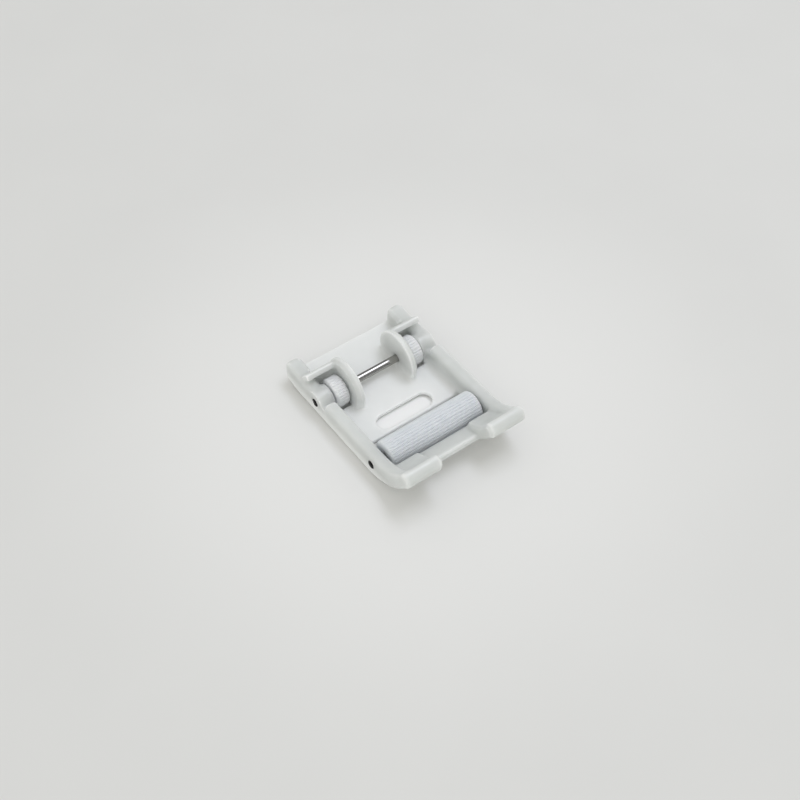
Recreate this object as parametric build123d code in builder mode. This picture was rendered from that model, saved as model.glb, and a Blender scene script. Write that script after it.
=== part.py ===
"""Clip-on roller foot for a wide-stitch sewing machine: translucent moulding, ridged rollers, steel pins.

Millimetres. +X is the sewer's right, +Y points to the back of the machine, +Z is up.
The origin lies under the middle of the foot, on the cloth plane that the rollers touch.
"""
import os
from math import asin, atan2, cos, degrees, pi, radians, sin, tan

from build123d import *

# Rollers and their pins
roller_diameter = 5.2
ridge_count = 30
ridge_depth = 0.18
groove_flank_angle = 45.0
roller_edge_bevel = 0.45
rear_roller_width = 2.3
pin_diameter = 1.3
running_clearance = 0.05
pin_seat_clearance = 0.01
roller_side_gap = 0.25
front_roller_end_gap = 0.5
roller_reach_gap = 0.5
pin_end_recess = 0.35
pin_end_bevel = 0.15
front_axle_y = -7.3
rear_axle_y = 8.0

# Sole, floor and side rails
foot_width = 22.8
foot_length = 33.3
sole_height = 0.2
floor_thickness = 0.75
rail_width = 2.2
rail_height = 4.6
rail_outer_round = 0.6
rail_inner_round = 0.8
rear_top_round = 1.2
rear_post_height = 5.1
rear_post_inset = 0.5
rear_post_step_depth = 0.06
rear_post_bevel = 0.5
rear_edge_round = 0.35
rear_rise_start = 11.4
rear_rise = 0.8
floor_bend_y = 5.2
floor_corner_round = 1.4

# Upturned toes and the lip between them
toe_angle = 56.0
toe_corner_round = 0.75
ski_start_y = -5.8
ski_radius = 12.0
sweep_start_y = -7.9
sweep_radius = 8.5
toe_inner_x = 4.5
toe_end_bevel = 0.5
toe_rear_height = 4.2
toe_rear_round = 0.9
lip_rear_height = 3.4
lip_front_y = -13.6
lip_slope = 20.0
lip_edge_round = 0.35

# Needle slot and roller well
slot_length = 10.4
slot_width = 2.9
slot_y = -0.55
well_rear_y = -2.8

# Cheeks that hold the bar, guards behind the rear rollers, hubs in the rails
bar_gap = 9.2
cheek_thickness = 1.3
cheek_radius = 4.65
cheek_lift = 0.35
cheek_bevel = 0.55
guard_thickness = 1.0
guard_side_inset = 0.3
guard_foot_angle = -25.0
guard_top_angle = 57.0
hub_radius = 2.1
hub_notch_length = 2.9
hub_notch_height = 3.3

# Sizes that follow from the ones above
roller_radius = roller_diameter / 2
groove_side = ridge_depth / cos(radians(groove_flank_angle))
axle_height = roller_radius
half_width = foot_width / 2
rear_y = foot_length / 2
tip_y = -foot_length / 2
floor_height = sole_height + floor_thickness
floor_middle = sole_height + floor_thickness / 2
rear_sole_height = sole_height + rear_rise
rear_floor_height = floor_height + rear_rise
rear_floor_middle = floor_middle + rear_rise
rail_inner_x = half_width - rail_width
plate_half_width = rail_inner_x + rail_inner_round
front_roller_length = 2 * (rail_inner_x - front_roller_end_gap)
lip_rear_y = front_axle_y - roller_radius - roller_reach_gap
lip_front_height = lip_rear_height + (lip_rear_y - lip_front_y) * tan(radians(lip_slope))
pin_bore = pin_diameter + 2 * running_clearance
pin_seat = pin_diameter + 2 * pin_seat_clearance
pin_length = foot_width - 2 * pin_end_recess
cheek_inner_x = bar_gap / 2
cheek_outer_x = cheek_inner_x + cheek_thickness
rear_roller_x = cheek_outer_x + roller_side_gap + rear_roller_width / 2
pocket_outer_x = cheek_outer_x + rear_roller_width + 2 * roller_side_gap
pocket_radius = roller_radius + roller_reach_gap
guard_outer_x = half_width - guard_side_inset
hub_base = sole_height + rail_outer_round
post_start_y = rear_axle_y + cheek_radius
post_inner_x = rail_inner_x - rear_post_inset
floor_slope = degrees(atan2(rear_rise, rear_y - floor_bend_y))
corner_length = (rear_y - rear_top_round - floor_bend_y) / cos(radians(floor_slope))
above_foot = rail_height + sweep_radius
ski_centre = (ski_start_y, sole_height + ski_radius)
lowest_angle = degrees(3 * pi / 2)
lip_rear_angle = degrees(asin((ski_start_y - lip_rear_y) / ski_radius))
lip_front_angle = degrees(asin((ski_start_y - lip_front_y) / ski_radius))
lip_direction = (-cos(radians(lip_slope)), sin(radians(lip_slope)))
rear_axle = (rear_axle_y, axle_height)

# Right rail: a bar that runs from the rear corner and sweeps up into the toe
with BuildPart() as rail:
    with BuildSketch(Plane.YZ.offset(rail_inner_x)) as rail_side:
        with BuildLine():
            sole = Line((rear_rise_start, sole_height), (ski_start_y, sole_height))
            ski = JernArc(sole @ 1, (-1, 0), ski_radius, -toe_angle)
            sweep = JernArc((sweep_start_y, rail_height), (-1, 0), sweep_radius, -toe_angle)
            tip = ThreePointArc(ski @ 1, (tip_y, ((ski @ 1).Y + (sweep @ 1).Y) / 2), sweep @ 1)
            rail_top = Line(sweep @ 0, (post_start_y, rail_height))
            post_top = TangentArc(rail_top @ 1, (rear_y, rear_post_height), tangent=(1, 0))
            rear_end = Line(post_top @ 1, (rear_y, rear_sole_height))
            TangentArc(sole @ 0, rear_end @ 1, tangent=(1, 0))
        make_face()
        rear_corners = rail_side.vertices().group_by(Axis.X)[-1].sort_by(Axis.Y)
        fillet(rear_corners[-1], rear_top_round)
        fillet(rear_corners[0], rear_edge_round)
        fillet(rail_side.vertices().sort_by(Axis.X)[:2], toe_corner_round)
    extrude(amount=rail_width)
    fillet(rail.faces().sort_by(Axis.X)[0].edges(), rail_inner_round)
    fillet(rail.faces().sort_by(Axis.X)[-1].edges(), rail_outer_round)

# Right rear post: the rail's rear end, thicker on its inner side
with BuildPart() as rear_post:
    with BuildSketch(Plane.YZ.offset(post_inner_x)):
        add(rail_side.sketch_local)
        with Locations((post_start_y, rear_floor_middle)):
            Rectangle(foot_length, above_foot, align=(Align.MIN, Align.MIN), mode=Mode.INTERSECT)
        offset(amount=-rear_post_step_depth)
    extrude(amount=plate_half_width - post_inner_x)
    inner_edges = rear_post.faces().sort_by(Axis.X)[0].edges()
    chamfer(inner_edges.sort_by(Axis.Z)[1:], rear_post_bevel)

# Right toe: the ski tip's inner part, bevelled where it ends beside the lip
with BuildPart() as toe:
    with BuildSketch(Plane.YZ.offset(toe_inner_x)) as toe_side:
        with BuildLine():
            toe_sweep = lip_rear_angle - toe_angle
            toe_under = CenterArc(ski_centre, ski_radius, lowest_angle - lip_rear_angle, toe_sweep)
            ThreePointArc(toe_under @ 1, tip @ 0.5, sweep @ 1)
            ramp = TangentArc((lip_rear_y, toe_rear_height), sweep @ 1, tangent=lip_direction)
            Line(toe_under @ 0, ramp @ 0)
        make_face()
        rear_corners = toe_side.vertices().group_by(Axis.X)[-1].sort_by(Axis.Y)
        fillet(rear_corners[-1], toe_rear_round)
        fillet(toe_side.vertices().sort_by(Axis.X)[:2], toe_corner_round)
    extrude(amount=plate_half_width - toe_inner_x)
    inner_edges = toe.faces().sort_by(Axis.X)[0].edges()
    chamfer(inner_edges.sort_by(Axis.Y)[:-1], toe_end_bevel)

# Right rear roller's housing: cheek, guard behind the roller, and hub in the rail
with BuildPart() as housing:
    with BuildSketch(Plane.YZ.offset(cheek_inner_x)):
        with Locations((rear_axle_y, axle_height + cheek_lift)):
            Circle(cheek_radius)
        with Locations((rear_axle_y, floor_middle)):
            Rectangle(2 * cheek_radius, above_foot, align=(Align.CENTER, Align.MIN), mode=Mode.INTERSECT)
    extrude(amount=cheek_thickness)
    cheek_rim = housing.edges().filter_by(GeomType.CIRCLE).group_by(Axis.X)[-1]
    chamfer(cheek_rim, cheek_bevel)
    with BuildSketch(Plane.YZ.offset(cheek_outer_x)):
        with BuildLine():
            guard_sweep = guard_top_angle - guard_foot_angle
            guard_inner_radius = cheek_radius - guard_thickness
            guard_back = CenterArc(rear_axle, cheek_radius, guard_foot_angle, guard_sweep)
            guard_front = CenterArc(rear_axle, guard_inner_radius, guard_foot_angle, guard_sweep)
            Line(guard_back @ 0, guard_front @ 0)
            Line(guard_back @ 1, guard_front @ 1)
        make_face()
    extrude(amount=guard_outer_x - cheek_outer_x)
    with BuildSketch(Plane.YZ.offset(pocket_outer_x)):
        with Locations(rear_axle):
            Circle(hub_radius)
            Rectangle(2 * hub_radius, hub_radius, align=(Align.CENTER, Align.MIN), mode=Mode.INTERSECT)
            Rectangle(2 * hub_radius, axle_height - hub_base, align=(Align.CENTER, Align.MAX))
    extrude(amount=half_width - pocket_outer_x)

# Right hollow corner where the floor meets the rail, level and then along the floor's rise
with BuildPart() as floor_corner:
    with BuildSketch(Plane.XZ.offset(-floor_bend_y)) as corner_section:
        with BuildLine():
            hollow_start = (rail_inner_x - floor_corner_round, floor_height)
            hollow_end = (rail_inner_x, floor_height + floor_corner_round)
            hollow = RadiusArc(hollow_start, hollow_end, -floor_corner_round)
            Polyline(
                hollow @ 1,
                (plate_half_width, floor_height + floor_corner_round),
                (plate_half_width, floor_middle),
                (rail_inner_x - floor_corner_round, floor_middle),
                hollow @ 0,
            )
        make_face()
    extrude(amount=floor_bend_y - well_rear_y)
    rise_direction = Vector(0, cos(radians(floor_slope)), sin(radians(floor_slope)))
    extrude(corner_section.sketch, amount=corner_length, dir=rise_direction)

# Body: one moulding, made as its right half and mirrored
with BuildPart() as foot_body:
    # Floor between the rails, rising to the rear edge
    with BuildSketch(Plane.YZ) as floor_side:
        with BuildLine():
            under_rise = TangentArc(sole @ 0, (rear_y, rear_sole_height), tangent=(1, 0))
            Polyline(
                sole @ 0,
                (well_rear_y, sole_height),
                (well_rear_y, floor_height),
                (floor_bend_y, floor_height),
                (rear_y, rear_floor_height),
                under_rise @ 1,
            )
        make_face()
        fillet(floor_side.vertices().group_by(Axis.X)[-1], rear_edge_round)
    extrude(amount=plate_half_width)
    # Lip in front of the roller, curved up like the toes
    with BuildSketch(Plane.YZ) as lip_side:
        with BuildLine():
            lip_sweep = lip_rear_angle - lip_front_angle
            lip_under = CenterArc(ski_centre, ski_radius, lowest_angle - lip_rear_angle, lip_sweep)
            Polyline(
                lip_under @ 0,
                (lip_rear_y, lip_rear_height),
                (lip_front_y, lip_front_height),
                lip_under @ 1,
            )
        make_face()
        fillet(lip_side.vertices().group_by(Axis.X)[0], lip_edge_round)
    extrude(amount=toe_inner_x + toe_end_bevel)
    add(toe.part)
    add(rail.part)
    add(rear_post.part)
    add(floor_corner.part)
    # Notch in the rail in front of the hub
    with BuildSketch(Plane.YZ):
        with Locations((rear_axle_y, hub_notch_height)):
            Rectangle(hub_notch_length, above_foot, align=(Align.MAX, Align.MIN))
    extrude(amount=half_width, mode=Mode.SUBTRACT)
    add(housing.part)
    # Pocket round the rear roller, open through the floor
    with BuildSketch(Plane.YZ.offset(cheek_outer_x)):
        with Locations(rear_axle):
            Circle(pocket_radius)
    extrude(amount=pocket_outer_x - cheek_outer_x, mode=Mode.SUBTRACT)
    # Needle slot
    with BuildSketch(Plane.XY):
        with Locations((0, slot_y)):
            SlotOverall(slot_length, slot_width)
    extrude(amount=above_foot, mode=Mode.SUBTRACT)
    # Holes for both pins, right through
    with BuildSketch(Plane.YZ):
        with Locations((front_axle_y, axle_height), rear_axle):
            Circle(pin_seat / 2)
    extrude(amount=half_width, mode=Mode.SUBTRACT)
    mirror(about=Plane.YZ)


def ridged_roller(length, middle_x, axle_y):
    """A roller with flat-topped ridges, bevelled ends and a bore that runs on its pin."""
    start = Plane.YZ.offset(middle_x - length / 2)
    axle = (axle_y, axle_height)
    with BuildPart() as roller:
        with BuildSketch(start):
            with Locations(axle):
                RegularPolygon(roller_radius, ridge_count, major_radius=False)
        extrude(amount=length)
        end_faces = roller.faces().filter_by(Axis.X)
        chamfer(end_faces.edges(), roller_edge_bevel)
        with BuildSketch(start):
            with Locations(axle):
                with PolarLocations(roller_radius, ridge_count):
                    Rectangle(groove_side, groove_side, rotation=groove_flank_angle)
        extrude(amount=length, mode=Mode.SUBTRACT)
        with BuildSketch(start):
            with Locations(axle):
                Circle(pin_bore / 2)
        extrude(amount=length, mode=Mode.SUBTRACT)
    return roller.part


def steel_pin(axle_y):
    """A steel pin with bevelled ends, seated in both sides of the body."""
    with BuildPart() as pin:
        with BuildSketch(Plane.YZ.offset(-pin_length / 2)):
            with Locations((axle_y, axle_height)):
                Circle(pin_diameter / 2)
        extrude(amount=pin_length)
        chamfer(pin.edges().filter_by(GeomType.CIRCLE), pin_end_bevel)
    return pin.part


pieces = {
    "foot_body": foot_body.part,
    "front_roller": ridged_roller(front_roller_length, 0, front_axle_y),
    "rear_left_roller": ridged_roller(rear_roller_width, -rear_roller_x, rear_axle_y),
    "rear_right_roller": ridged_roller(rear_roller_width, rear_roller_x, rear_axle_y),
    "front_axle": steel_pin(front_axle_y),
    "cross_bar": steel_pin(rear_axle_y),
}

os.makedirs("parts", exist_ok=True)
for name, piece in pieces.items():
    piece.label = name
    export_step(piece, f"parts/{name}.step")
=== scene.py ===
"""Looks of a clip-on roller presser foot: a milky moulding, ridged rollers and steel pins on a pale table."""
import math

import bmesh
import bpy
from mathutils import Matrix, Vector


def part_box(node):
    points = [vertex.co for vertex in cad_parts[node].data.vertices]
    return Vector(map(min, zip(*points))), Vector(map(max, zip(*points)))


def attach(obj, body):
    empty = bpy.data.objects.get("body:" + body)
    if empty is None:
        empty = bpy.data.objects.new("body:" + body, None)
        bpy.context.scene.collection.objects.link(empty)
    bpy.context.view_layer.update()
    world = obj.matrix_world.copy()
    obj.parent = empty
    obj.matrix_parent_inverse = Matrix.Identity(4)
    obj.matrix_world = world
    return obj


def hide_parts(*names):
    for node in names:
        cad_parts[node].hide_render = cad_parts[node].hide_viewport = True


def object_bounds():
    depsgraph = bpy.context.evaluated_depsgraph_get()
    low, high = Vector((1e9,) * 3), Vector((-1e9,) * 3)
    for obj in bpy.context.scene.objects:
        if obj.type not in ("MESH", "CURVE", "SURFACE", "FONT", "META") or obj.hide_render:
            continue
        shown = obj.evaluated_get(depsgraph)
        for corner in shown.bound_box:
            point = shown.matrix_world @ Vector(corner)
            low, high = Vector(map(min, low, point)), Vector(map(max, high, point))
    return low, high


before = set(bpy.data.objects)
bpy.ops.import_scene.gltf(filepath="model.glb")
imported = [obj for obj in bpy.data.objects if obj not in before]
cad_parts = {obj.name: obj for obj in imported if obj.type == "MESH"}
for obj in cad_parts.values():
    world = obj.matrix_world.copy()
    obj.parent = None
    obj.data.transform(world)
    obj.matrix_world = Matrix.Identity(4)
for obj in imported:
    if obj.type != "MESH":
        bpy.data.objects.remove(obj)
cad_low, cad_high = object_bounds()

MM = 0.001
QUARTER_TURN = math.pi / 2
FULL_TURN = 2.0 * math.pi

# Camera: the photograph's viewing angle, with its focal length in pixels of an 800 pixel frame
IMAGE_SIDE = 800
FOCAL_PIXELS = 1275
CAMERA_AZIMUTH = math.radians(-36.41)
CAMERA_ELEVATION = math.radians(50.14)
CAMERA_DISTANCE = 205.7 * MM
CAMERA_AIM = Vector((0.873, 1.802, 0.557)) * MM
CAMERA_NEAR = 10.0 * MM
CAMERA_FAR = 10.0
SENSOR_WIDTH = 36.0

# Moulding: voxel and smoothing that turn the sharp edges into moulded ones
BODY_VOXEL_MM = 0.19
BODY_SMOOTHING = 0.5
BODY_SMOOTH_STEPS = 7
MERGE_DISTANCE = 1e-7

# Clouds, grain and marks: how finely each is broken up, and the part of its noise that it spans
CLOUD_DETAIL = 3.0
CLOUD_ROUGHNESS = 0.55
CLOUD_SPAN = (0.30, 0.70)
GRAIN_DETAIL = 2.0
MARK_DETAIL = 5.0
MARK_ROUGHNESS = 0.65
MARK_SPAN = (0.42, 0.66)
UNSTRETCHED = (1.0, 1.0, 1.0)
EVEN_SCATTER = (1.0, 1.0, 1.0)

# Body plastic: pale in the floor, greyer in the walls (the pale floor is painted light shining through it),
# palest on edges above the sole (painted highlight), dark in the pin holes (painted shade)
# The thin floor's paler colour is painted light, as if light shone up through it
THIN_PLASTIC_PAINTED_LIGHT = ((0.850, 0.864, 0.856, 1.0), (0.878, 0.890, 0.882, 1.0))
WALL_PLASTIC = ((0.566, 0.584, 0.572, 1.0), (0.602, 0.618, 0.607, 1.0))
# Painted highlight: the colour that convex edges above the sole are lightened towards
PAINTED_EDGE_HIGHLIGHT = (0.96, 0.97, 0.965, 1.0)
# Painted shade: the colour of the pin holes' walls
PIN_HOLE_PAINTED_SHADE = (0.02, 0.02, 0.02, 1.0)
FLOOR_TINT_TOP = 1.0 * MM
WALL_TINT_TOP = 3.2 * MM
FLOOR_SCATTER = 0.7 * MM
WALL_SCATTER = 4.0 * MM
BODY_CLOUD_SIZE = 4.0 * MM
BODY_GRAIN_SIZE = 0.35 * MM
BODY_GRAIN_DEPTH = 0.002 * MM
BODY_MARK_SIZE = 1.6 * MM
BODY_ROUGHNESS = (0.40, 0.52)
BODY_REFRACTION = 1.49
BODY_CLEARNESS = 0.05
BODY_COAT = 0.4
BODY_COAT_ROUGHNESS = 0.15
EDGE_ATTRIBUTE = "edge_bend"
EDGE_BEND_START = 0.03
EDGE_BEND_FULL = 0.22
PAINTED_HIGHLIGHT_SHARE = 0.75
EDGE_HIGHLIGHT_FROM = 0.9 * MM
EDGE_HIGHLIGHT_FULL = 2.0 * MM
PIN_HOLE_SHADE_RADIUS = 0.74 * MM
PIN_HOLE_SHADE_START = 9.6 * MM
FRONT_AXLE_MIDDLE = sum(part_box("front_axle"), Vector()) / 2
CROSS_BAR_MIDDLE = sum(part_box("cross_bar"), Vector()) / 2

# Rollers: the solid's ridges with soft crests and rounded ends
ROLLER_BORE_RADIUS = 0.70 * MM
RIDGE_COUNT = 30
RIDGE_DEPTH = 0.18 * MM
GROOVE_SHARE = 0.80
ROLLER_END_ROUND = 0.45 * MM
BORE_EDGE_ROUND = 0.08 * MM
SAMPLES_PER_RIDGE = 12
END_ROUND_STEPS = 5

# Roller plastic: slightly bluish, the rear rollers paler, the front roller darker with painted shade
# The front roller's darker colours are painted shade
FRONT_ROLLER_PAINTED_SHADE_COLORS = ((0.61, 0.64, 0.675, 1.0), (0.645, 0.67, 0.70, 1.0))
REAR_ROLLER_COLORS = ((0.76, 0.78, 0.805, 1.0), (0.79, 0.806, 0.826, 1.0))
ROLLER_SCATTER = 3.6 * MM
ROLLER_CLOUD_SIZE = 1.5 * MM
ROLLER_GRAIN_SIZE = 0.15 * MM
ROLLER_GRAIN_DEPTH = 0.004 * MM
ROLLER_MARK_SIZE = 0.9 * MM
ROLLER_ROUGHNESS = (0.36, 0.52)

# Pins: turned steel with bevelled ends, dark on their ends with painted shade
PINS = ("front_axle", "cross_bar")
PIN_END_BEVEL = 0.15 * MM
PIN_SEGMENTS = 96
PIN_SHARP_ANGLE = math.radians(30)
STEEL_COLORS = ((0.40, 0.392, 0.375, 1.0), (0.36, 0.352, 0.335, 1.0))
PIN_END_PAINTED_SHADE = (0.012, 0.012, 0.012, 1.0)
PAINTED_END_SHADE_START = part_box("cross_bar")[1].x - PIN_END_BEVEL
STEEL_GRAIN_SIZE = 0.08 * MM
STEEL_MARK_SIZE = 0.9 * MM
STEEL_MARK_STRETCH = (9.0, 0.6, 0.6)
STEEL_MARK_DEPTH = 0.001 * MM
STEEL_ROUGHNESS = (0.08, 0.15)

# Table: a painted pool of light, palest under the foot
TABLE_SIDE = 3.0
TABLE_PAINTED_POOL_UNDER = (0.91, 0.91, 0.905, 1.0)
TABLE_PAINTED_GLOW_NEAR = (0.765, 0.765, 0.753, 1.0)
TABLE_FAR = ((0.665, 0.665, 0.652, 1.0), (0.675, 0.675, 0.662, 1.0))
PAINTED_POOL_REACH = (5.0 * MM, 15.0 * MM)
PAINTED_GLOW_REACH = (5.0 * MM, 70.0 * MM)
TABLE_CLOUD_SIZE = 30.0 * MM
TABLE_ROUGHNESS = 0.7
TABLE_GLOSS = 0.2

# Light: a cool key lamp from above and the right, a fill from the front and the left, and a warm sky
KEY_TOWARD = (0.34, 0.02, 1.00)
KEY_DISTANCE = 0.50
KEY_SIDES = (0.30, 0.15)
KEY_POWER = 0.636
KEY_COLOR = (0.85, 0.88, 1.0)
FILL_TOWARD = (-0.60, -0.70, 0.50)
FILL_DISTANCE = 0.60
FILL_SIDES = (0.50, 0.50)
FILL_POWER = 0.48
FILL_COLOR = (1.0, 1.0, 0.97)
SKY_ZENITH = (0.745, 0.745, 0.724, 1.0)
SKY_HORIZON = (0.866, 0.86, 0.821, 1.0)
REFLECTED_ZENITH = (0.70, 0.70, 0.70, 1.0)
REFLECTED_HORIZON = (0.03, 0.03, 0.03, 1.0)


# Helpers for node trees
def add_node(tree, kind, **settings):
    """A new node with its settings, such as its operation or mode."""
    node = tree.nodes.new(kind)
    for name, value in settings.items():
        setattr(node, name, value)
    return node


def give(socket, value):
    """Gives an input another node's output or a plain value."""
    if isinstance(value, bpy.types.NodeSocket):
        socket.id_data.links.new(value, socket)
    else:
        socket.default_value = value


def set_inputs(node, values):
    """Gives a node's inputs their values by socket name."""
    for name, value in values.items():
        give(node.inputs[name], value)
    return node


def math_node(tree, operation, *operands):
    """A Math node's output, each operand a number or another node's output."""
    node = add_node(tree, "ShaderNodeMath", operation=operation)
    for socket, value in zip(node.inputs, operands):
        give(socket, value)
    return node.outputs["Value"]


def between(tree, share, limits):
    """The value at a share, from 0 to 1, of the way between two limits."""
    node = add_node(tree, "ShaderNodeMapRange")
    set_inputs(node, {"Value": share, "To Min": limits[0], "To Max": limits[1]})
    return node.outputs["Result"]


def ease(tree, value, start, stop, low=0.0, high=1.0):
    """A value that goes softly from low to high while another goes from start to stop."""
    node = add_node(tree, "ShaderNodeMapRange", interpolation_type="SMOOTHSTEP")
    set_inputs(node, {"Value": value, "From Min": start, "From Max": stop, "To Min": low, "To Max": high})
    return node.outputs["Result"]


def mix_colors(tree, share, colors):
    """The blend of two colours by a share from 0 to 1."""
    mix = add_node(tree, "ShaderNodeMix", data_type="RGBA")
    tree.links.new(share, mix.inputs["Factor"])
    color_sockets = [socket for socket in mix.inputs if socket.type == "RGBA"]
    for socket, color in zip(color_sockets, colors):
        give(socket, color)
    return next(socket for socket in mix.outputs if socket.type == "RGBA")


def separate(tree, vector):
    """The X, Y and Z of a vector."""
    node = add_node(tree, "ShaderNodeSeparateXYZ")
    tree.links.new(vector, node.inputs["Vector"])
    return node.outputs


def from_axle(tree, across, height):
    """How far a place is from an axle along X."""
    across_square = math_node(tree, "MULTIPLY", across, across)
    height_square = math_node(tree, "MULTIPLY", height, height)
    return math_node(tree, "SQRT", math_node(tree, "ADD", across_square, height_square))


def new_group(name, kind, inputs, outputs):
    """An empty node group with named inputs and outputs, and its two end nodes."""
    tree = bpy.data.node_groups.new(name, kind)
    for in_out, sockets in (("INPUT", inputs), ("OUTPUT", outputs)):
        for socket_name, socket_type, default in sockets:
            socket = tree.interface.new_socket(socket_name, in_out=in_out, socket_type=socket_type)
            if default is not None:
                socket.default_value = default
    return tree, add_node(tree, "NodeGroupInput"), add_node(tree, "NodeGroupOutput")


def place_group(tree, group, values):
    """The outputs of a group placed in a material, with its inputs set."""
    return set_inputs(add_node(tree, "ShaderNodeGroup", node_tree=group), values).outputs


# Shader effects that more than one finish uses
def cloudiness_group():
    """Soft uneven density inside a moulded plastic, from 0 to 1."""
    tree, start, end = new_group(
        "cloudiness",
        "ShaderNodeTree",
        [("Vector", "NodeSocketVector", None), ("Cloud Size", "NodeSocketFloat", BODY_CLOUD_SIZE)],
        [("Cloud", "NodeSocketFloat", None)],
    )
    scale = math_node(tree, "DIVIDE", 1.0, start.outputs["Cloud Size"])
    noise = add_node(tree, "ShaderNodeTexNoise")
    set_inputs(noise, {"Vector": start.outputs["Vector"], "Scale": scale})
    set_inputs(noise, {"Detail": CLOUD_DETAIL, "Roughness": CLOUD_ROUGHNESS})
    tree.links.new(ease(tree, noise.outputs["Fac"], *CLOUD_SPAN), end.inputs["Cloud"])
    return tree


def surface_grain_group():
    """Fine moulded or ground unevenness, as a height from 0 to 1, and the faint marks of handling on it."""
    tree, start, end = new_group(
        "surface_grain",
        "ShaderNodeTree",
        [
            ("Vector", "NodeSocketVector", None),
            ("Grain Size", "NodeSocketFloat", BODY_GRAIN_SIZE),
            ("Mark Size", "NodeSocketFloat", BODY_MARK_SIZE),
            ("Mark Stretch", "NodeSocketVector", UNSTRETCHED),
        ],
        [("Height", "NodeSocketFloat", None), ("Marks", "NodeSocketFloat", None)],
    )
    grain_scale = math_node(tree, "DIVIDE", 1.0, start.outputs["Grain Size"])
    grain = add_node(tree, "ShaderNodeTexNoise")
    set_inputs(grain, {"Vector": start.outputs["Vector"], "Scale": grain_scale, "Detail": GRAIN_DETAIL})
    stretch = add_node(tree, "ShaderNodeVectorMath", operation="MULTIPLY")
    tree.links.new(start.outputs["Vector"], stretch.inputs[0])
    tree.links.new(start.outputs["Mark Stretch"], stretch.inputs[1])
    mark_scale = math_node(tree, "DIVIDE", 1.0, start.outputs["Mark Size"])
    marks = add_node(tree, "ShaderNodeTexNoise")
    set_inputs(marks, {"Vector": stretch.outputs[0], "Scale": mark_scale})
    set_inputs(marks, {"Detail": MARK_DETAIL, "Roughness": MARK_ROUGHNESS})
    tree.links.new(grain.outputs["Fac"], end.inputs["Height"])
    tree.links.new(ease(tree, marks.outputs["Fac"], *MARK_SPAN), end.inputs["Marks"])
    return tree


CLOUDINESS = cloudiness_group()
SURFACE_GRAIN = surface_grain_group()


# Finishes
def new_material(name):
    """An empty node material, its tree, its Principled shader and its Object coordinates."""
    material = bpy.data.materials.new(name)
    material.use_nodes = True
    tree = material.node_tree
    tree.nodes.clear()
    output = add_node(tree, "ShaderNodeOutputMaterial")
    shader = add_node(tree, "ShaderNodeBsdfPrincipled")
    tree.links.new(shader.outputs["BSDF"], output.inputs["Surface"])
    coordinates = add_node(tree, "ShaderNodeTexCoord").outputs["Object"]
    return material, tree, shader, coordinates


def add_bump(tree, shader, height, depth):
    """Fine relief of that depth on a shader's normal."""
    bump = add_node(tree, "ShaderNodeBump")
    set_inputs(bump, {"Height": height, "Distance": depth, "Strength": 1.0})
    tree.links.new(bump.outputs["Normal"], shader.inputs["Normal"])


def inside_pin_hole(tree, place, axle):
    """A mask that is 1 on the wall of a pin's hole, where shade is painted."""
    across = math_node(tree, "SUBTRACT", place["Y"], axle.y)
    height = math_node(tree, "SUBTRACT", place["Z"], axle.z)
    near_axle = math_node(tree, "LESS_THAN", from_axle(tree, across, height), PIN_HOLE_SHADE_RADIUS)
    from_middle = math_node(tree, "ABSOLUTE", place["X"])
    out_side = math_node(tree, "GREATER_THAN", from_middle, PIN_HOLE_SHADE_START)
    return math_node(tree, "MULTIPLY", near_axle, out_side)


def milky_plastic():
    """Translucent natural plastic: pale where it is thin (painted light shining through), greyer in the
    walls, palest on edges (painted highlight), dark inside the pin holes (painted shade).
    """
    material, tree, shader, coordinates = new_material("milky_plastic")
    place = separate(tree, coordinates)
    cloud = place_group(tree, CLOUDINESS, {"Vector": coordinates, "Cloud Size": BODY_CLOUD_SIZE})["Cloud"]
    in_wall = ease(tree, place["Z"], FLOOR_TINT_TOP, WALL_TINT_TOP)
    # Painted light: the thin floor is paler than the walls, as if lit through
    thin = mix_colors(tree, cloud, THIN_PLASTIC_PAINTED_LIGHT)
    thick = mix_colors(tree, cloud, WALL_PLASTIC)
    plain = mix_colors(tree, in_wall, (thin, thick))
    bend = add_node(tree, "ShaderNodeAttribute", attribute_name=EDGE_ATTRIBUTE).outputs["Fac"]
    # Painted highlight on convex edges, faded out near the sole
    edge_highlight = ease(tree, bend, EDGE_BEND_START, EDGE_BEND_FULL, high=PAINTED_HIGHLIGHT_SHARE)
    above_sole = ease(tree, place["Z"], EDGE_HIGHLIGHT_FROM, EDGE_HIGHLIGHT_FULL)
    painted_highlight = math_node(tree, "MULTIPLY", edge_highlight, above_sole)
    highlighted = mix_colors(tree, painted_highlight, (plain, PAINTED_EDGE_HIGHLIGHT))
    # Painted shade on the walls of the pin holes
    front_hole = inside_pin_hole(tree, place, FRONT_AXLE_MIDDLE)
    rear_hole = inside_pin_hole(tree, place, CROSS_BAR_MIDDLE)
    in_hole = math_node(tree, "MAXIMUM", front_hole, rear_hole)
    grain = place_group(
        tree,
        SURFACE_GRAIN,
        {"Vector": coordinates, "Grain Size": BODY_GRAIN_SIZE, "Mark Size": BODY_MARK_SIZE},
    )
    set_inputs(
        shader,
        {
            "Base Color": mix_colors(tree, in_hole, (highlighted, PIN_HOLE_PAINTED_SHADE)),
            "Roughness": between(tree, grain["Marks"], BODY_ROUGHNESS),
            "IOR": BODY_REFRACTION,
            "Transmission Weight": BODY_CLEARNESS,
            "Subsurface Weight": 1.0,
            "Subsurface Radius": EVEN_SCATTER,
            "Subsurface Scale": between(tree, in_wall, (FLOOR_SCATTER, WALL_SCATTER)),
            "Coat Weight": BODY_COAT,
            "Coat Roughness": BODY_COAT_ROUGHNESS,
        },
    )
    add_bump(tree, shader, grain["Height"], BODY_GRAIN_DEPTH)
    return material


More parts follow.
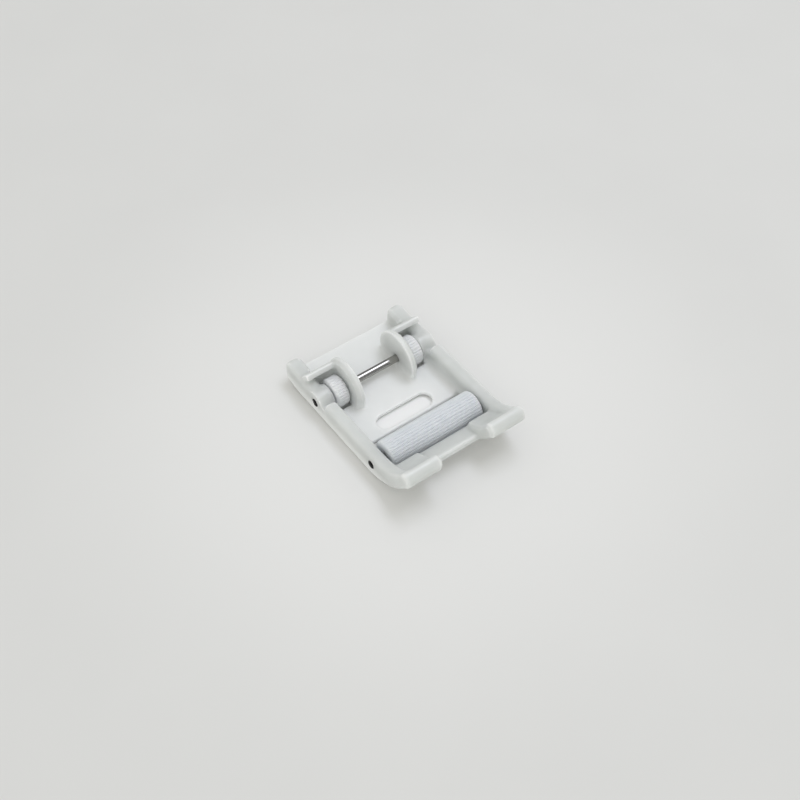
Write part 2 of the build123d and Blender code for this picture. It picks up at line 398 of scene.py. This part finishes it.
def roller_plastic(name, colors):
    """Slightly bluish plastic with a satin skin."""
    material, tree, shader, coordinates = new_material(name)
    cloud = place_group(tree, CLOUDINESS, {"Vector": coordinates, "Cloud Size": ROLLER_CLOUD_SIZE})["Cloud"]
    grain = place_group(
        tree,
        SURFACE_GRAIN,
        {"Vector": coordinates, "Grain Size": ROLLER_GRAIN_SIZE, "Mark Size": ROLLER_MARK_SIZE},
    )
    set_inputs(
        shader,
        {
            "Base Color": mix_colors(tree, cloud, colors),
            "Roughness": between(tree, grain["Marks"], ROLLER_ROUGHNESS),
            "Subsurface Weight": 1.0,
            "Subsurface Radius": EVEN_SCATTER,
            "Subsurface Scale": ROLLER_SCATTER,
        },
    )
    add_bump(tree, shader, grain["Height"], ROLLER_GRAIN_DEPTH)
    return material


def polished_steel():
    """Ground and polished steel with faint grinding lines round the pin, dark on its ends with painted shade.
    """
    material, tree, shader, coordinates = new_material("polished_steel")
    grain = place_group(
        tree,
        SURFACE_GRAIN,
        {
            "Vector": coordinates,
            "Grain Size": STEEL_GRAIN_SIZE,
            "Mark Size": STEEL_MARK_SIZE,
            "Mark Stretch": STEEL_MARK_STRETCH,
        },
    )
    polish = mix_colors(tree, grain["Marks"], STEEL_COLORS)
    from_middle = math_node(tree, "ABSOLUTE", separate(tree, coordinates)["X"])
    # Painted shade on the pin ends
    painted_end_shade = math_node(tree, "GREATER_THAN", from_middle, PAINTED_END_SHADE_START)
    set_inputs(
        shader,
        {
            "Base Color": mix_colors(tree, painted_end_shade, (polish, PIN_END_PAINTED_SHADE)),
            "Roughness": between(tree, grain["Marks"], STEEL_ROUGHNESS),
            "Metallic": 1.0,
        },
    )
    add_bump(tree, shader, grain["Marks"], STEEL_MARK_DEPTH)
    return material


def pale_table():
    """A plain table top with a painted pool of light, palest under the foot."""
    material, tree, shader, coordinates = new_material("pale_table")
    cloud = place_group(tree, CLOUDINESS, {"Vector": coordinates, "Cloud Size": TABLE_CLOUD_SIZE})["Cloud"]
    from_foot = add_node(tree, "ShaderNodeVectorMath", operation="LENGTH")
    tree.links.new(coordinates, from_foot.inputs[0])
    far_table = mix_colors(tree, cloud, TABLE_FAR)
    # Painted light: the table is paler near the foot and palest under it
    away = ease(tree, from_foot.outputs["Value"], *PAINTED_GLOW_REACH)
    open_table = mix_colors(tree, away, (TABLE_PAINTED_GLOW_NEAR, far_table))
    outside_painted_pool = ease(tree, from_foot.outputs["Value"], *PAINTED_POOL_REACH)
    set_inputs(
        shader,
        {
            "Base Color": mix_colors(tree, outside_painted_pool, (TABLE_PAINTED_POOL_UNDER, open_table)),
            "Roughness": TABLE_ROUGHNESS,
            "Specular IOR Level": TABLE_GLOSS,
        },
    )
    return material


MILKY_PLASTIC = milky_plastic()
# The front roller's copy of the roller plastic is darker: painted shade
FRONT_ROLLER_PAINTED_SHADE_PLASTIC = roller_plastic("front_roller_painted_shade_plastic", FRONT_ROLLER_PAINTED_SHADE_COLORS)
REAR_ROLLER_PLASTIC = roller_plastic("rear_roller_plastic", REAR_ROLLER_COLORS)
POLISHED_STEEL = polished_steel()
PALE_TABLE = pale_table()


# Helpers for pieces
def new_piece(name, mesh):
    """A mesh object at the origin, in the scene."""
    piece = bpy.data.objects.new(name, mesh)
    bpy.context.scene.collection.objects.link(piece)
    return piece


def baked_mesh(piece, name):
    """The piece's mesh with its modifiers' result, as a plain mesh."""
    depsgraph = bpy.context.evaluated_depsgraph_get()
    mesh = bpy.data.meshes.new_from_object(piece.evaluated_get(depsgraph), depsgraph=depsgraph)
    mesh.name = name
    return mesh


def stand_for(piece, node, body):
    """The piece takes a solid's place and body."""
    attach(piece, body)
    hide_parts(node)


# The moulded body
def store_edge_bend(mesh):
    """Stores how far each point stands out from its neighbours, in steps between them: 0 on a flat face."""
    shape = bmesh.new()
    shape.from_mesh(mesh)
    bends = []
    for point in shape.verts:
        others = [edge.other_vert(point).co for edge in point.link_edges]
        middle = sum(others, Vector()) / len(others)
        step = sum(edge.calc_length() for edge in point.link_edges) / len(others)
        bends.append((point.co - middle).dot(point.normal) / step)
    shape.free()
    mesh.attributes.new(EDGE_ATTRIBUTE, "FLOAT", "POINT").data.foreach_set("value", bends)


def moulded_body():
    """The foot's moulding: the solid with every sharp edge softened as a mould leaves it."""
    solid = bmesh.new()
    solid.from_mesh(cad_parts["foot_body"].data)
    bmesh.ops.remove_doubles(solid, verts=solid.verts, dist=MERGE_DISTANCE)
    rough = bpy.data.meshes.new("moulding_rough")
    solid.to_mesh(rough)
    solid.free()
    rough.transform(Matrix.Scale(1.0 / MM, 4))
    piece = new_piece("moulding", rough)
    remesh = piece.modifiers.new("soft_edges", "REMESH")
    remesh.mode = "VOXEL"
    remesh.voxel_size = BODY_VOXEL_MM
    smooth = piece.modifiers.new("smooth_skin", "SMOOTH")
    smooth.factor = BODY_SMOOTHING
    smooth.iterations = BODY_SMOOTH_STEPS
    finished = baked_mesh(piece, "moulding")
    piece.modifiers.clear()
    finished.transform(Matrix.Scale(MM, 4))
    store_edge_bend(finished)
    finished.shade_smooth()
    finished.materials.clear()
    finished.materials.append(MILKY_PLASTIC)
    piece.data = finished
    bpy.data.meshes.remove(rough)
    stand_for(piece, "foot_body", "foot")


# The ridged rollers
def ridged_roller_tree():
    """Geometry nodes that turn a rounded section into a roller and press its ridges into the rim."""
    tree, start, end = new_group(
        "ridged_roller",
        "GeometryNodeTree",
        [
            ("Length", "NodeSocketFloat", None),
            ("Radius", "NodeSocketFloat", None),
            ("Bore Radius", "NodeSocketFloat", ROLLER_BORE_RADIUS),
            ("Ridges", "NodeSocketInt", RIDGE_COUNT),
            ("Ridge Depth", "NodeSocketFloat", RIDGE_DEPTH),
            ("Groove Share", "NodeSocketFloat", GROOVE_SHARE),
            ("End Round", "NodeSocketFloat", ROLLER_END_ROUND),
            ("Middle", "NodeSocketVector", None),
            ("Finish", "NodeSocketMaterial", None),
        ],
        [("Roller", "NodeSocketGeometry", None)],
    )
    size = start.outputs
    position = add_node(tree, "GeometryNodeInputPosition").outputs["Position"]

    # The section: a rectangle from bore to rim, rounded more at the rim
    wall = math_node(tree, "SUBTRACT", size["Radius"], size["Bore Radius"])
    across_radii = math_node(tree, "ADD", size["Radius"], size["Bore Radius"])
    section = add_node(tree, "GeometryNodeCurvePrimitiveQuadrilateral", mode="RECTANGLE")
    set_inputs(section, {"Width": wall, "Height": size["Length"]})
    on_rim = math_node(tree, "GREATER_THAN", separate(tree, position)["X"], 0.0)
    extra_round = math_node(tree, "SUBTRACT", size["End Round"], BORE_EDGE_ROUND)
    corner_round = math_node(tree, "MULTIPLY_ADD", on_rim, extra_round, BORE_EDGE_ROUND)
    rounded = add_node(tree, "GeometryNodeFilletCurve", mode="POLY")
    set_inputs(rounded, {"Curve": section.outputs["Curve"], "Radius": corner_round, "Count": END_ROUND_STEPS})

    # The plain roller: the section carried round a ring and laid along X
    ring = add_node(tree, "GeometryNodeCurvePrimitiveCircle")
    ring_steps = math_node(tree, "MULTIPLY", size["Ridges"], SAMPLES_PER_RIDGE)
    set_inputs(ring, {"Resolution": ring_steps, "Radius": math_node(tree, "MULTIPLY", across_radii, 0.5)})
    turned = add_node(tree, "GeometryNodeCurveToMesh")
    set_inputs(turned, {"Curve": ring.outputs["Curve"], "Profile Curve": rounded.outputs["Curve"]})
    laid = add_node(tree, "GeometryNodeTransform")
    set_inputs(laid, {"Geometry": turned.outputs["Mesh"], "Rotation": (0.0, QUARTER_TURN, 0.0)})

    # The ridges: soft grooves pressed into the rim, evenly round it
    place = separate(tree, position)
    across, height = place["Y"], place["Z"]
    reach = from_axle(tree, across, height)
    turn = math_node(tree, "DIVIDE", math_node(tree, "ARCTAN2", height, across), FULL_TURN)
    pitch_place = math_node(tree, "FRACT", math_node(tree, "MULTIPLY_ADD", turn, size["Ridges"], 0.5))
    from_groove = math_node(tree, "ABSOLUTE", math_node(tree, "SUBTRACT", pitch_place, 0.5))
    groove_half = math_node(tree, "MULTIPLY", size["Groove Share"], 0.5)
    groove = ease(tree, from_groove, 0.0, groove_half, low=1.0, high=0.0)
    sunk = math_node(tree, "MULTIPLY", groove, size["Ridge Depth"])
    pressed = math_node(tree, "MINIMUM", reach, math_node(tree, "SUBTRACT", size["Radius"], sunk))
    shrink = math_node(tree, "SUBTRACT", math_node(tree, "DIVIDE", pressed, reach), 1.0)
    push = add_node(tree, "ShaderNodeCombineXYZ")
    set_inputs(push, {"Y": math_node(tree, "MULTIPLY", across, shrink)})
    set_inputs(push, {"Z": math_node(tree, "MULTIPLY", height, shrink)})
    ridged = add_node(tree, "GeometryNodeSetPosition")
    set_inputs(ridged, {"Geometry": laid.outputs["Geometry"], "Offset": push.outputs["Vector"]})

    # Seated on its axle, with its finish
    seated = add_node(tree, "GeometryNodeTransform")
    set_inputs(seated, {"Geometry": ridged.outputs["Geometry"], "Translation": size["Middle"]})
    soft = add_node(tree, "GeometryNodeSetShadeSmooth")
    set_inputs(soft, {"Geometry": seated.outputs["Geometry"]})
    realized = add_node(tree, "GeometryNodeRealizeInstances")
    set_inputs(realized, {"Geometry": soft.outputs["Geometry"]})
    finish = add_node(tree, "GeometryNodeSetMaterial")
    set_inputs(finish, {"Geometry": realized.outputs["Geometry"], "Material": size["Finish"]})
    tree.links.new(finish.outputs["Geometry"], end.inputs["Roller"])
    return tree


def socket_identifiers(tree):
    """The identifiers of a group's inputs by their names."""
    sockets = (item for item in tree.interface.items_tree if item.item_type == "SOCKET")
    return {socket.name: socket.identifier for socket in sockets if socket.in_out == "INPUT"}


def ridged_roller(node, tree, finish):
    """A roller in its solid's place, on its own body."""
    low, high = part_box(node)
    piece = new_piece(f"ridged_{node}", bpy.data.meshes.new(f"ridged_{node}"))
    modifier = piece.modifiers.new("ridged_roller", "NODES")
    modifier.node_group = tree
    names = socket_identifiers(tree)
    modifier[names["Length"]] = high.x - low.x
    modifier[names["Radius"]] = (high.z - low.z) / 2
    modifier[names["Middle"]] = (low + high) / 2
    modifier[names["Finish"]] = finish
    mesh = baked_mesh(piece, f"ridged_{node}")
    piece.modifiers.clear()
    piece.data = mesh
    stand_for(piece, node, node)


# The steel pins
def turned_pin(node):
    """A steel pin turned from its section: bevelled ends, smooth flank."""
    low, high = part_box(node)
    middle = (low + high) / 2
    radius = (high.z - low.z) / 2
    section = (
        (low.x, 0.0),
        (low.x, radius - PIN_END_BEVEL),
        (low.x + PIN_END_BEVEL, radius),
        (high.x - PIN_END_BEVEL, radius),
        (high.x, radius - PIN_END_BEVEL),
        (high.x, 0.0),
    )
    turned = bmesh.new()
    points = [turned.verts.new((x, middle.y, middle.z + reach)) for x, reach in section]
    edges = [turned.edges.new(pair) for pair in zip(points, points[1:])]
    bmesh.ops.spin(
        turned,
        geom=points + edges,
        cent=middle,
        axis=(1.0, 0.0, 0.0),
        angle=FULL_TURN,
        steps=PIN_SEGMENTS,
    )
    bmesh.ops.remove_doubles(turned, verts=turned.verts, dist=MERGE_DISTANCE)
    bmesh.ops.recalc_face_normals(turned, faces=turned.faces)
    mesh = bpy.data.meshes.new(f"turned_{node}")
    turned.to_mesh(mesh)
    turned.free()
    mesh.shade_smooth()
    mesh.set_sharp_from_angle(angle=PIN_SHARP_ANGLE)
    mesh.materials.append(POLISHED_STEEL)
    stand_for(new_piece(f"turned_{node}", mesh), node, "foot")


# Table, light and camera
def table():
    """The table top under the foot."""
    half = TABLE_SIDE / 2
    mesh = bpy.data.meshes.new("table_top")
    corners = [(x * half, y * half, cad_low.z) for x, y in ((-1, -1), (1, -1), (1, 1), (-1, 1))]
    mesh.from_pydata(corners, [], [(0, 1, 2, 3)])
    mesh.materials.append(PALE_TABLE)
    new_piece("table_top", mesh)


def soft_lamp(name, toward, distance, sides, power, color):
    """A soft rectangular lamp that shines at the foot from a direction."""
    lamp = bpy.data.lights.new(name, "AREA")
    lamp.shape = "RECTANGLE"
    lamp.size, lamp.size_y = sides
    lamp.energy = power
    lamp.color = color
    fitting = bpy.data.objects.new(name, lamp)
    direction = Vector(toward).normalized()
    fitting.location = CAMERA_AIM + direction * distance
    fitting.rotation_mode = "QUATERNION"
    fitting.rotation_quaternion = direction.to_track_quat("Z", "Y")
    bpy.context.scene.collection.objects.link(fitting)


def studio_sky():
    """A plain sky for the light, and one that is dark low down for what the steel mirrors."""
    world = bpy.data.worlds.new("studio_sky")
    world.use_nodes = True
    tree = world.node_tree
    tree.nodes.clear()
    output = add_node(tree, "ShaderNodeOutputWorld")
    background = add_node(tree, "ShaderNodeBackground")
    height = separate(tree, add_node(tree, "ShaderNodeTexCoord").outputs["Generated"])["Z"]
    lit_sky = mix_colors(tree, height, (SKY_HORIZON, SKY_ZENITH))
    mirrored_sky = mix_colors(tree, height, (REFLECTED_HORIZON, REFLECTED_ZENITH))
    mirrored = add_node(tree, "ShaderNodeLightPath").outputs["Is Glossy Ray"]
    tree.links.new(mix_colors(tree, mirrored, (lit_sky, mirrored_sky)), background.inputs["Color"])
    tree.links.new(background.outputs["Background"], output.inputs["Surface"])
    bpy.context.scene.world = world


def camera():
    """The photograph's camera."""
    data = bpy.data.cameras.new("photo_camera")
    data.sensor_width = SENSOR_WIDTH
    data.lens = FOCAL_PIXELS / IMAGE_SIDE * SENSOR_WIDTH
    data.clip_start = CAMERA_NEAR
    data.clip_end = CAMERA_FAR
    holder = bpy.data.objects.new("photo_camera", data)
    level = math.cos(CAMERA_ELEVATION)
    back_x = math.sin(CAMERA_AZIMUTH) * level
    back_y = -math.cos(CAMERA_AZIMUTH) * level
    back = Vector((back_x, back_y, math.sin(CAMERA_ELEVATION)))
    holder.location = CAMERA_AIM + back * CAMERA_DISTANCE
    holder.rotation_mode = "QUATERNION"
    holder.rotation_quaternion = (-back).to_track_quat("-Z", "Y")
    bpy.context.scene.collection.objects.link(holder)
    bpy.context.scene.camera = holder


moulded_body()
roller_tree = ridged_roller_tree()
ridged_roller("front_roller", roller_tree, FRONT_ROLLER_PAINTED_SHADE_PLASTIC)
ridged_roller("rear_left_roller", roller_tree, REAR_ROLLER_PLASTIC)
ridged_roller("rear_right_roller", roller_tree, REAR_ROLLER_PLASTIC)
for pin in PINS:
    turned_pin(pin)

table()
studio_sky()
soft_lamp("key_lamp", KEY_TOWARD, KEY_DISTANCE, KEY_SIDES, KEY_POWER, KEY_COLOR)
soft_lamp("fill_lamp", FILL_TOWARD, FILL_DISTANCE, FILL_SIDES, FILL_POWER, FILL_COLOR)
camera()
bpy.context.scene.view_settings.view_transform = "Standard"
